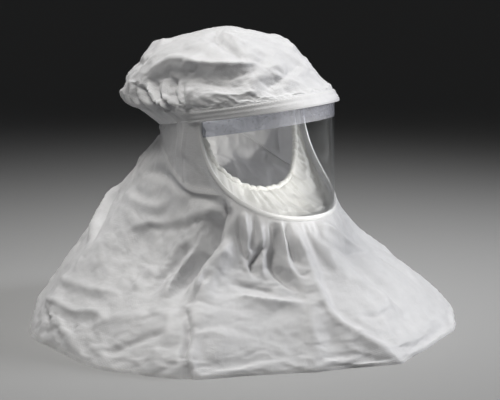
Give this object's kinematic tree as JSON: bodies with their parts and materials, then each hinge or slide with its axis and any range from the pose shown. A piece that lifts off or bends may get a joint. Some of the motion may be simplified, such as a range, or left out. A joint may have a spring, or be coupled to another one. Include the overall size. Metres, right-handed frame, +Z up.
{
  "type": "disposable protective hood",
  "caption": "White nonwoven hood with puffed crown, curved clear visor, inner face seal and a wide shoulder shroud that stands on its hem.",
  "frame": {"origin": "middle of the hem's box, in the plane that the hem rests on", "axes": "+Z up from the hem to the crown, -Y towards the visor's front, +X towards the wearer's left shoulder"},
  "size_m": [0.5862, 0.5598, 0.402],
  "materials": {
    "coated_cloth": "coated white nonwoven, crisp and creased, satin",
    "seal_cloth": "soft white nonwoven, matte",
    "elastic": "covered elastic, matte",
    "binding_tape": "welded white tape, satin",
    "clear_sheet": "clear glossy plastic sheet",
    "frosted_sheet": "translucent blue-grey sheet"
  },
  "bodies": {
    "root": {"crown": "coated_cloth", "brim_band": "coated_cloth", "shroud": "coated_cloth", "neck_yoke": "coated_cloth", "visor": "clear_sheet", "visor_binding": "binding_tape", "brow_strip": "frosted_sheet", "face_seal": "seal_cloth", "seal_elastic": "elastic"}
  },
  "joints": []
}
